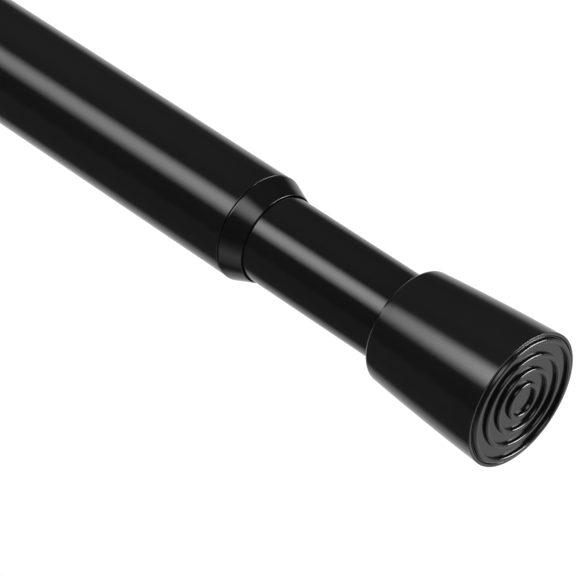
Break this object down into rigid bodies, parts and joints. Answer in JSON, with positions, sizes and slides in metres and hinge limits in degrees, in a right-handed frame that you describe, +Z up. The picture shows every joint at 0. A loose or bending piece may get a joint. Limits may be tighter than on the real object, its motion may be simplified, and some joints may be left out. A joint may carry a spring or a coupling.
{
  "type": "spring tension rod",
  "caption": "Telescoping spring tension rod: two slim tubes with a tapered collar, a twist lock and a spring inside, and a ridged grip cap on each end.",
  "frame": {"origin": "centre of the far cap's face, on the plane of its ridge crests, where it bears on the wall", "axes": "+X along the rod from the far cap (outer tube) to the near cap (inner tube), +Z up, as it hangs level between two walls"},
  "size_m": [0.33, 0.0224, 0.0224],
  "materials": {
    "tube_paint": "gloss black baked paint on steel tube",
    "collar_plastic": "gloss black moulding",
    "cap_plastic": "gloss black moulding",
    "grip_rubber": "black rubber with a slight sheen",
    "plug_plastic": "matt black moulding",
    "lock_nylon": "natural nylon",
    "cone_plastic": "dark glass-filled moulding",
    "zinc_steel": "bright zinc on steel",
    "spring_steel": "drawn spring wire, lightly oiled"
  },
  "bodies": {
    "outer": {"outer_tube": "tube_paint", "taper_collar": "collar_plastic", "far_tube_plug": "plug_plastic", "far_cap_shell": "cap_plastic", "far_grip_pad": "grip_rubber"},
    "sleeve": {"lock_sleeve": "lock_nylon"},
    "cone": {"lock_cone": "cone_plastic"},
    "spindle": {"lock_spindle": "zinc_steel", "thrust_washer": "zinc_steel", "end_nut": "zinc_steel", "plunger_head": "zinc_steel", "plunger_washer": "zinc_steel", "plunger_screw": "zinc_steel", "main_spring": "spring_steel"},
    "inner": {"inner_tube": "tube_paint", "guide_bush": "plug_plastic", "glide_ring": "lock_nylon", "spring_stop": "plug_plastic", "stop_washer": "zinc_steel", "near_tube_plug": "plug_plastic", "near_cap_shell": "cap_plastic", "near_grip_pad": "grip_rubber"}
  },
  "joints": [
    {"name": "length_slide", "type": "slide", "parent": "outer", "child": "sleeve", "axis": [1, 0, 0], "range_m": [0, 0.169]},
    {"name": "twist_lock", "type": "hinge", "parent": "sleeve", "child": "spindle", "pos_m": [0.045, 0, 0], "axis": [1, 0, 0], "range_deg": [0, 540]},
    {"name": "cone_draw", "type": "slide", "parent": "sleeve", "child": "cone", "axis": [-1, 0, 0], "range_m": [0, 0.0023]},
    {"name": "spring_stroke", "type": "slide", "parent": "spindle", "child": "inner", "axis": [1, 0, 0], "range_m": [-0.0245, 0], "stiffness_N_per_m": 2200, "springref_m": 0.005, "deforming": ["main_spring"]}
  ],
  "couplings": [
    {"joint": "cone_draw", "follows": "twist_lock", "m_per_rad": 0.00023873}
  ]
}
